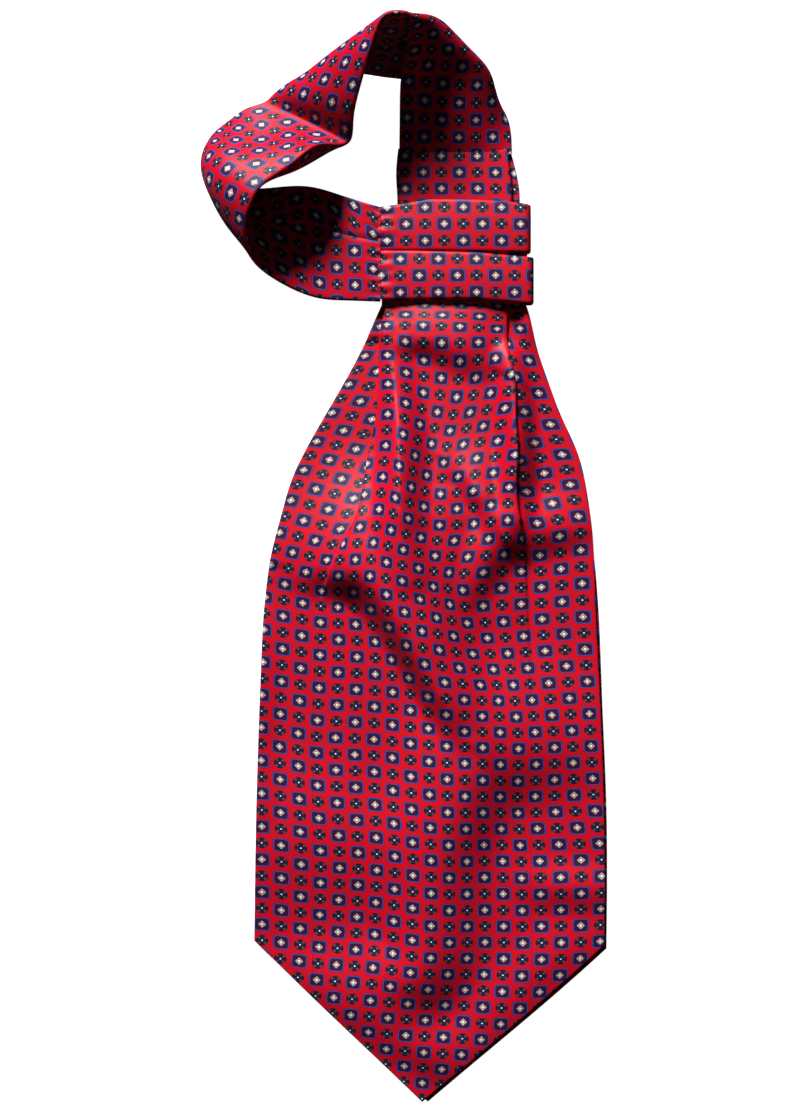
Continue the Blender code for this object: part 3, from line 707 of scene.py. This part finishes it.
def build_blade_front(material):
    knots = -np.array([row.y for row in BLADE_ROWS])
    where = with_edges(np.arange(knots[0], knots[-1] + ROW_STEP / 2, ROW_STEP))
    outline = smooth_through([row[1:5] for row in BLADE_ROWS], knots, where)
    simple = [np.interp(where, knots, [row[k] for row in BLADE_ROWS]) for k in (5, 6, 7, 8)]
    grid, uv = [], []
    for i, at in enumerate(where):
        tuck, opening, puff, vee = (column[i] for column in simple)
        row = BladeRow(-at, *outline[i], tuck, opening, puff, vee)
        section, spans = blade_section(row)
        x, z = section[:, 0], section[:, 1]
        y = row.y - vee * hem_drop(x, row.left, row.right, TIP_X)
        z = z + fold_height(x, y, BLADE_CRESTS)
        lift = np.clip((row.y - NECK_RISE_FROM) / NECK_RISE_OVER, 0, 1) ** NECK_RISE_POWER
        share = (x - row.left) / (row.right - row.left)
        z = z + lift * ((1 - share) * NECK_RISE_LEFT + share * NECK_RISE_RIGHT)
        grid.append(np.stack([x, y, z], axis=1))
        uv.append(blade_print(section, y, spans))
    return cloth("front_blade_silk", grid, uv, SILK, material)


def build_blade_back(material):
    knots = -np.array([row.y for row in BACK_ROWS])
    where = with_edges(np.linspace(knots[0], knots[-1], BACK_ROW_COUNT))
    edges = smooth_through([row[1:3] for row in BACK_ROWS], knots, where)
    vees = np.interp(where, knots, [row.vee for row in BACK_ROWS])
    grid, uv = [], []
    for at, (left, right), vee in zip(where, edges, vees):
        near = left + edged_run(BACK_TIP_X - left, BACK_HALF_POINTS)
        far = right - edged_run(right - BACK_TIP_X, BACK_HALF_POINTS)[::-1]
        x = np.concatenate([near, far[1:]])
        y = -at - vee * hem_drop(x, left, right, BACK_TIP_X)
        grid.append(np.stack([x, y, np.full_like(x, BACK_WALL / 2)], axis=1))
        uv.append(np.stack([x / PITCH_P + BACK_PRINT_AHEAD, -y / PITCH_Q], axis=1))
    return cloth("back_blade_silk", grid, uv, BACK_SILK, material)


# ---- Neckband ------------------------------------------------------------------------------

BAND_STEPS = 8
BAND_COLUMNS = 46
BAND_WIDTH = 48.0
BAND_PRINT_OUTER = 0.5
BAND_PRINT_INNER = 1.0
# The print follows each line's own length up to the first place, and the middle's after the second
OWN_LENGTH_FROM = 38.0
OWN_LENGTH_TO = 60.0
BAND_PITCH_V = 7.3
BAND_SEAM = 0.62
BAND_SEAM_SINK = 0.5
BAND_SEAM_REACH = 1.2
BAND_SEAM_GAP = 0.25
BAND_PUFF_SPAN = 0.45
BAND_PUFF_POWER = 1.5
# Shares by which it thins towards the front blade and towards the crossing, and how far from them
SEAM_THIN = 0.55
CROSS_THIN = 0.2
SEAM_THIN_OVER = 4.0

# How far the neckband's print runs ahead of its plain length, both counted in motifs
PrintShift = namedtuple("PrintShift", "motif shift")
BAND_PRINT = [
    PrintShift(0.0, 0.05),
    PrintShift(12.0, 0.5),
    PrintShift(17.6, 0.5),
    PrintShift(19.0, 0.0),
    PrintShift(21.0, 0.05),
    PrintShift(22.7, 0.3),
    PrintShift(24.3, 0.5),
    PrintShift(28.0, 0.2),
    PrintShift(31.0, 0.0),
]


def band_lines():
    """Rim, pull point, foot and puff of the neckband at many places along it."""
    rows = np.array(BAND_ROWS, float)
    chord = np.linalg.norm(np.diff(rows, axis=0), axis=1)
    knots = np.concatenate([[0], np.cumsum(np.sqrt(chord))])
    parts = [np.linspace(a, b, BAND_STEPS + 1)[:-1] for a, b in zip(knots, knots[1:])]
    where = with_edges(np.concatenate(parts + [knots[-1:]]))
    return smooth_through(rows, knots, where)


def build_neckband(material):
    """The neckband as it is sewn: one strip in a flat tube, with its join along the inner face."""
    lines = band_lines()
    share = with_edges(np.linspace(0, BAND_WIDTH, BAND_COLUMNS + 1)) / BAND_WIDTH
    t = share[None, :, None]
    rim, bend, foot = (lines[:, None, k : k + 3] for k in (0, 3, 6))
    middle = (1 - t) ** 2 * rim + 2 * t * (1 - t) * bend + t**2 * foot
    puff = np.maximum(lines[:, 9], 0)[:, None, None]
    puff = puff * np.clip(1 - t / BAND_PUFF_SPAN, 0, 1) ** BAND_PUFF_POWER
    normal = normals(middle)
    from_edge = np.minimum(share, 1 - share) * BAND_WIDTH
    near = 1 - np.clip(from_edge / (BAND_WALL / 2), 0, 1)
    run = lengths(middle[:, len(share) // 2])
    left_over = run[-1] - run
    thin = 1 - SEAM_THIN * bell(run / SEAM_THIN_OVER)
    thin -= CROSS_THIN * bell(left_over / SEAM_THIN_OVER)
    half = rounded_half(BAND_WALL / 2 - BAND_SLACK, near)[None, :] * thin[:, None]
    inner = middle + normal * half[:, :, None]
    outer = middle - normal * (half[:, :, None] + puff)
    seam = int(np.argmin(np.abs(share - BAND_SEAM)))
    away = (share - share[seam]) * BAND_WIDTH
    sink = BAND_SEAM_SINK * bell(away / BAND_SEAM_REACH)
    inner = inner - normal * sink[None, :, None]
    drawn = puckers(share[None, :] * BAND_WIDTH, left_over[:, None])
    inner = inner + normal * drawn[:, :, None]
    slide = unit(np.gradient(middle, axis=1))
    first, last = inner[:, seam:].copy(), inner[:, : seam + 1].copy()
    first[:, 0] += slide[:, seam] * BAND_SEAM_GAP / 2
    last[:, -1] -= slide[:, seam] * BAND_SEAM_GAP / 2
    ring = np.concatenate([first, outer[:, ::-1], last], axis=1)
    ring[..., 2] = np.maximum(ring[..., 2], FLOOR_GAP)
    own_share = np.clip((OWN_LENGTH_TO - run) / (OWN_LENGTH_TO - OWN_LENGTH_FROM), 0, 1)[:, None]
    motifs = (grid_run(ring, 0) * own_share + run[:, None] * (1 - own_share)) / PITCH_P
    u = motifs + np.interp(run / PITCH_P, *zip(*BAND_PRINT))[:, None]
    round_it = grid_run(ring, 1)
    rim_at = first.shape[1] + outer.shape[1] - 1
    side = np.where(np.arange(ring.shape[1]) > rim_at, BAND_PRINT_INNER, BAND_PRINT_OUTER)
    v = (round_it - round_it[:, rim_at : rim_at + 1]) / BAND_PITCH_V + side
    uv = np.stack([u, v], axis=-1).reshape(-1, 2)
    faces = grid_faces(np.arange(u.size).reshape(u.shape))
    obj = add_mesh("neckband_silk", ring.reshape(-1, 3), faces, uv, material)
    return obj, (float(round_it[:, -1].mean()) * MM, float(run[-1]) * MM)


# ---- Crossing ------------------------------------------------------------------------------

def rounded_path(corners, radius):
    """Polyline through the corners, with every inner corner rounded by a curve."""
    corners = [np.array(corner, float) for corner in corners]
    path = [corners[0]]
    for before, corner, after in zip(corners, corners[1:], corners[2:]):
        into = (corner - before) / np.linalg.norm(corner - before)
        out = (after - corner) / np.linalg.norm(after - corner)
        turn = math.acos(np.clip(into @ out, -1, 1))
        back = radius * math.tan(turn / 2)
        start, end = corner - into * back, corner + out * back
        for t in np.linspace(0, 1, CORNER_PIECES + 1):
            path.append((1 - t) ** 2 * start + 2 * t * (1 - t) * corner + t**2 * end)
    path.append(corners[-1])
    return path


def cross_bulge(x):
    """How far the crossing is lifted by the neck under it."""
    return CROSS_BULGE * np.sin(np.pi * np.clip(x / UPPER_FOLD_END, 0, 1))


def build_wrap(name, top, bottom, end, print_at, material):
    """One lengthwise fold of the second blade: over the neck, round its right side, and under."""
    low = BACK_WALL / 2
    start = CROSS_ROWS[0].x - SEAM_TUCK
    corners = [(start, CROSS_HEIGHT), (end, CROSS_HEIGHT), (end, low), (end - CROSS_TUCK, low)]
    turns = rounded_path(corners, CROSS_TURN)[1:]
    run = with_edges(np.linspace(start, turns[0][0], WRAP_STEPS))[: -len(EDGE_STEPS) - 1]
    path = [(x, CROSS_HEIGHT) for x in run] + [tuple(point) for point in turns]
    knots = [row.x for row in CROSS_ROWS]
    along = lengths(np.array(path))
    share = with_edges(np.linspace(0, WRAP_SPAN, WRAP_POINTS)) / WRAP_SPAN
    grid, uv = [], []
    for (x, z), length in zip(path, along):
        y = np.interp(x, knots, top) * (1 - share) + np.interp(x, knots, bottom) * share
        on_top = z > CROSS_HEIGHT - LEVEL_SLACK
        crown = (CROSS_CROWN * np.sin(np.pi * share) + cross_bulge(x)) * on_top
        from_seam = x - CROSS_ROWS[0].x
        crown += puckers(y, from_seam) - SEAM_DIP * bell(from_seam / SEAM_DIP_REACH)
        grid.append(np.stack([np.full_like(share, x), y, z + crown], axis=1))
        column = (start + length - print_at[0]) / PITCH_P
        uv.append(np.stack([np.full_like(share, column), (print_at[1] - y) / PITCH_Q], axis=1))
    return cloth(name, grid, uv, WRAP_WALL - WRAP_SLACK, material)


def build_inner_layer(material):
    """The layer under the split between the crossing's two folds, which shows as a dark slit."""
    start, end = CROSS_ROWS[0].x - SEAM_TUCK, UPPER_FOLD_END - INNER_DEPTH
    level = CROSS_HEIGHT - INNER_DEPTH
    path = rounded_path([(start, level), (end, level), (end, BACK_WALL)], CROSS_TURN - INNER_DEPTH)
    run = np.linspace(start, path[1][0], INNER_STEPS + 1)[:-1]
    path = [(x, level) for x in run] + path[1:]
    grid, uv = [], []
    for x, z in path:
        y = np.linspace(INNER_TOP, INNER_BOTTOM, INNER_POINTS)
        lift = cross_bulge(x) * (z > level - LEVEL_SLACK)
        grid.append(np.stack([np.full_like(y, x), y, np.full_like(y, z + lift)], axis=1))
        uv.append(np.stack([np.full_like(y, x / PITCH_P), -y / PITCH_Q], axis=1))
    return cloth("crossing_inner_silk", grid, uv, INNER_SILK, material)


def build_under_edge(material):
    """The doubled lower edge of the crossing, which shows as a narrow lip below it."""
    x = np.linspace(CROSS_ROWS[0].x, UNDER_EDGE_END, UNDER_EDGE_STEPS)
    bottom = np.interp(x, [row.x for row in CROSS_ROWS], [row.bottom for row in CROSS_ROWS])
    lip = UNDER_EDGE_PEEP * np.clip((UNDER_EDGE_FADED - x) / UNDER_EDGE_FADE, 0, 1)
    grid, uv = [], []
    for depth in with_edges(np.linspace(0, UNDER_EDGE_DEPTH, UNDER_EDGE_POINTS)):
        y = bottom - lip + UNDER_EDGE_DEPTH - depth
        grid.append(np.stack([x, y, UNDER_EDGE_HEIGHT + cross_bulge(x)], axis=1))
        uv.append(np.stack([x / PITCH_P, -y / PITCH_Q], axis=1))
    wall = UNDER_EDGE_WALL - UNDER_EDGE_SLACK
    return cloth("crossing_under_edge_silk", grid, uv, wall, material)


# ---- Materials -----------------------------------------------------------------------------

# Bands of a motif from its edge inwards: where each begins, over what width, and its colour
MotifBand = namedtuple("MotifBand", "limit soft colour")
SQUARE_BANDS = [
    MotifBand(1.0, 0.05, OUTLINE),
    MotifBand(0.935, 0.03, BAND_BLUE),
    MotifBand(0.83, 0.03, OUTLINE),
    MotifBand(0.77, 0.05, AUBERGINE),
]
DIAMOND_BANDS = [MotifBand(1.0, 0.15, GREY)]
SQUARE_DOT_BANDS = [MotifBand(0.76, 0.1, RING), MotifBand(0.54, 0.1, WHITE)]
DISC_BANDS = [MotifBand(1.0, 0.08, NAVY)]
DISC_DOT_BANDS = [MotifBand(0.125, 0.05, WHITE)]

# Half sizes across and down, and how sharp the square's corners are
SQUARE_HALF = (3.48, 3.03)
SQUARE_POWER = 5.0
DIAMOND_HALF = (1.62, 1.52)
DISC_HALF = (2.72, 2.38)

# Petals: how close they keep to the disc's diagonals (1 on a diagonal, 0 on an axis), then their
# outer and inner ends. Each is a limit and the width over which it fades.
PETAL_SIDES = (0.76, 0.26)
PETAL_OUTER = (0.92, 0.12)
PETAL_INNER = (0.46, 0.16)

SILK_ROUGHNESS = 0.42
SILK_SPECULAR = 0.22
SHEEN = 0.06
SHEEN_ROUGHNESS = 0.4
SHEEN_TINT = (1.0, 0.35, 0.4, 1.0)
MOTTLE_SCALE = 60.0
MOTTLE_SHADE = 0.9
TWILL_PITCH = 0.5
TWILL_STRENGTH = 0.35
TWILL_DEPTH = 0.04
# Painted shade: the neckband's and the crossing's silk are darker copies of the same red, standing
# in for less light falling on those pieces
BAND_PAINTED_SHADE = 0.8
BAND_SPECULAR = 0.15
CROSS_PAINTED_SHADE = 0.95


class Graph:
    """Short ways to add nodes to a material."""

    def __init__(self, material):
        material.use_nodes = True
        self.nodes = material.node_tree.nodes
        self.links = material.node_tree.links
        self.shader = self.nodes["Principled BSDF"]

    def feed(self, socket, value):
        """Links another node's output to the socket, or sets a plain value on it."""
        if isinstance(value, bpy.types.NodeSocket):
            self.links.new(value, socket)
        else:
            socket.default_value = value

    def math(self, operation, *values, clamp=False):
        node = self.nodes.new("ShaderNodeMath")
        node.operation = operation
        node.use_clamp = clamp
        for socket, value in zip(node.inputs, values):
            self.feed(socket, value)
        return node.outputs[0]

    def mix(self, share, first, second):
        node = self.nodes.new("ShaderNodeMix")
        node.data_type = "RGBA"
        for name, value in (("Factor_Float", share), ("A_Color", first), ("B_Color", second)):
            self.feed(next(s for s in node.inputs if s.identifier == name), value)
        return next(s for s in node.outputs if s.identifier == "Result_Color")

    def below(self, value, limit, soft):
        """1 where value is under limit, falling to 0 over a soft edge."""
        edge = self.math("SUBTRACT", limit, value)
        edge = self.math("DIVIDE", edge, soft)
        return self.math("ADD", edge, 0.5, clamp=True)

    def paint(self, colour, value, bands):
        """The colour, with each band laid over it where value is under the band's limit."""
        for band in bands:
            colour = self.mix(self.below(value, band.limit, band.soft), colour, band.colour)
        return colour


def motif_coordinates(graph):
    """The print's coordinates, the place in a motif's cell, and 1 where the cell holds a disc."""
    uv = graph.nodes.new("ShaderNodeUVMap")
    uv.uv_map = PRINT_LAYER
    parts = graph.nodes.new("ShaderNodeSeparateXYZ")
    graph.links.new(uv.outputs[0], parts.inputs[0])
    u, v = parts.outputs[0], parts.outputs[1]
    cell_u = graph.math("ROUND", u)
    cell_v = graph.math("ROUND", v)
    across = graph.math("MULTIPLY", graph.math("SUBTRACT", u, cell_u), PITCH_P)
    down = graph.math("MULTIPLY", graph.math("SUBTRACT", v, cell_v), PITCH_Q)
    total = graph.math("ADD", cell_u, cell_v)
    odd = graph.math("FLOORED_MODULO", total, 2.0)
    return u, v, across, down, odd


def square_motif(graph, across, down, ground):
    """Blue-edged square with a pale diamond and a ringed dot in it."""
    a = graph.math("ABSOLUTE", across)
    b = graph.math("ABSOLUTE", down)
    wide = graph.math("POWER", graph.math("DIVIDE", a, SQUARE_HALF[0]), SQUARE_POWER)
    tall = graph.math("POWER", graph.math("DIVIDE", b, SQUARE_HALF[1]), SQUARE_POWER)
    shape = graph.math("POWER", graph.math("ADD", wide, tall), 1 / SQUARE_POWER)
    colour = graph.paint(ground, shape, SQUARE_BANDS)
    side = graph.math("DIVIDE", a, DIAMOND_HALF[0])
    rise = graph.math("DIVIDE", b, DIAMOND_HALF[1])
    colour = graph.paint(colour, graph.math("ADD", side, rise), DIAMOND_BANDS)
    aa = graph.math("MULTIPLY", a, a)
    bb = graph.math("MULTIPLY", b, b)
    radius = graph.math("SQRT", graph.math("ADD", aa, bb))
    return graph.paint(colour, radius, SQUARE_DOT_BANDS)


def round_motif(graph, across, down, ground):
    """Dark disc with four tawny petals on its diagonals and a dot in it."""
    x = graph.math("DIVIDE", across, DISC_HALF[0])
    y = graph.math("DIVIDE", down, DISC_HALF[1])
    xx = graph.math("MULTIPLY", x, x)
    yy = graph.math("MULTIPLY", y, y)
    square = graph.math("ADD", xx, yy)
    radius = graph.math("SQRT", square)
    colour = graph.paint(ground, radius, DISC_BANDS)
    product = graph.math("MULTIPLY", 4.0, graph.math("MULTIPLY", xx, yy))
    turn = graph.math("DIVIDE", product, graph.math("MULTIPLY", square, square))
    petal = graph.math("SUBTRACT", 1.0, graph.below(turn, *PETAL_SIDES))
    hollow = graph.math("SUBTRACT", 1.0, graph.below(radius, *PETAL_INNER))
    ring = graph.math("MULTIPLY", graph.below(radius, *PETAL_OUTER), hollow)
    colour = graph.mix(graph.math("MULTIPLY", petal, ring), colour, ORANGE)
    return graph.paint(colour, radius, DISC_DOT_BANDS)


def printed_silk(name, painted_shade=1.0, specular=SILK_SPECULAR):
    """Red silk twill with the foulard print, a satin sheen and a fine diagonal weave."""
    material = bpy.data.materials.new(name)
    graph = Graph(material)
    u, v, across, down, odd = motif_coordinates(graph)
    # Painted shade: a factor below 1 darkens this copy of the silk's red to stand in for less light
    # on its piece
    red = tuple(part * painted_shade for part in RED[:3]) + (1.0,)
    noise = graph.nodes.new("ShaderNodeTexNoise")
    noise.inputs["Scale"].default_value = MOTTLE_SCALE
    place_of = graph.nodes.new("ShaderNodeTexCoord")
    graph.links.new(place_of.outputs["Object"], noise.inputs["Vector"])
    darker = tuple(part * MOTTLE_SHADE for part in red[:3]) + (1.0,)
    ground = graph.mix(noise.outputs[0], red, darker)
    squares = square_motif(graph, across, down, ground)
    rounds = round_motif(graph, across, down, ground)
    colour = graph.mix(odd, squares, rounds)
    shader = graph.shader
    graph.links.new(colour, shader.inputs["Base Color"])
    shader.inputs["Roughness"].default_value = SILK_ROUGHNESS
    shader.inputs["Specular IOR Level"].default_value = specular
    shader.inputs["Sheen Weight"].default_value = SHEEN
    shader.inputs["Sheen Roughness"].default_value = SHEEN_ROUGHNESS
    shader.inputs["Sheen Tint"].default_value = SHEEN_TINT
    run = graph.math("ADD", graph.math("MULTIPLY", u, PITCH_P), graph.math("MULTIPLY", v, PITCH_Q))
    rib = graph.math("SINE", graph.math("MULTIPLY", run, 2 * math.pi / TWILL_PITCH))
    bump = graph.nodes.new("ShaderNodeBump")
    bump.inputs["Strength"].default_value = TWILL_STRENGTH
    bump.inputs["Distance"].default_value = TWILL_DEPTH * MM
    graph.links.new(rib, bump.inputs["Height"])
    graph.links.new(bump.outputs[0], shader.inputs["Normal"])
    return material


# ---- Stage ---------------------------------------------------------------------------------

CAMERA_OVER = (-0.8555, -1.06, 900.0)
CAMERA_LENS = 95.07
SENSOR = 36.0
KEY_AT = (-774.0, 2360.0, 1359.0)
KEY_SIZE = 640.0
KEY_POWER = 177.0
KEY_AIM = (0.0, 20.0, 0.0)
WORLD_WHITE = (1.0, 1.0, 1.0, 1.0)
FILL_STRENGTH = 0.03
# The floor is 4 metres square. Its glow keeps it as white as the photo's surface.
FLOOR_SIZE = 4.0
FLOOR_COLOUR = (0.4, 0.4, 0.4, 1.0)
FLOOR_ROUGHNESS = 0.9
FLOOR_GLOW = 1.0


def build_camera():
    data = bpy.data.cameras.new("camera")
    data.sensor_fit = "HORIZONTAL"
    data.sensor_width = SENSOR
    data.lens = CAMERA_LENS
    camera = bpy.data.objects.new("camera", data)
    camera.location = Vector(place(CAMERA_OVER))
    bpy.context.scene.collection.objects.link(camera)
    bpy.context.scene.camera = camera


def build_lights():
    data = bpy.data.lights.new("key", "AREA")
    data.shape = "DISK"
    data.size = KEY_SIZE * MM
    data.energy = KEY_POWER
    key = bpy.data.objects.new("key", data)
    key.location = Vector(KEY_AT) * MM
    aim = Vector(KEY_AIM) * MM - key.location
    key.rotation_euler = aim.to_track_quat("-Z", "Y").to_euler()
    bpy.context.scene.collection.objects.link(key)
    world = bpy.data.worlds.new("studio")
    world.use_nodes = True
    background = world.node_tree.nodes["Background"]
    background.inputs["Color"].default_value = WORLD_WHITE
    background.inputs["Strength"].default_value = FILL_STRENGTH
    bpy.context.scene.world = world
    bpy.context.scene.view_settings.view_transform = "Standard"


def build_floor():
    half = FLOOR_SIZE / 2
    mesh = bpy.data.meshes.new("floor")
    corners = [(-half, -half, 0.0), (half, -half, 0.0), (half, half, 0.0), (-half, half, 0.0)]
    mesh.from_pydata(corners, [], [(0, 1, 2, 3)])
    material = bpy.data.materials.new("pale_floor")
    material.use_nodes = True
    shader = material.node_tree.nodes["Principled BSDF"]
    shader.inputs["Base Color"].default_value = FLOOR_COLOUR
    shader.inputs["Roughness"].default_value = FLOOR_ROUGHNESS
    shader.inputs["Emission Color"].default_value = WORLD_WHITE
    shader.inputs["Emission Strength"].default_value = FLOOR_GLOW
    mesh.materials.append(material)
    floor = bpy.data.objects.new("floor", mesh)
    bpy.context.scene.collection.objects.link(floor)
    floor.visible_diffuse = False
    floor.visible_glossy = False


# ---- Assembly ------------------------------------------------------------------------------

def finish_piece(obj, node):
    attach(obj, "root")
    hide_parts(node)
    return obj


silk = printed_silk("printed_silk")
# The neckband's and the crossing's copies of the silk carry painted shade, a darker red than the
# blades'
band_silk = printed_silk("neckband_silk", BAND_PAINTED_SHADE, BAND_SPECULAR)
cross_silk = printed_silk("crossing_silk", CROSS_PAINTED_SHADE)
top, split_top, split_bottom, bottom = list(zip(*CROSS_ROWS))[1:]

front = finish_piece(build_blade_front(silk), "blade_front")
back = finish_piece(build_blade_back(silk), "blade_back")
band, band_flat = build_neckband(band_silk)
finish_piece(band, "neckband")
upper = build_wrap(
    "crossing_upper_silk", top, split_top, UPPER_FOLD_END, UPPER_PRINT_AT, cross_silk
)
finish_piece(upper, "wrap_upper_fold")
lower = build_wrap(
    "crossing_lower_silk", split_bottom, bottom, LOWER_FOLD_END, LOWER_PRINT_AT, cross_silk
)
finish_piece(lower, "wrap_lower_fold")
inner = build_inner_layer(cross_silk)
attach(inner, "root")
edge = finish_piece(build_under_edge(cross_silk), "wrap_under_edge")

build_floor()
build_camera()
build_lights()
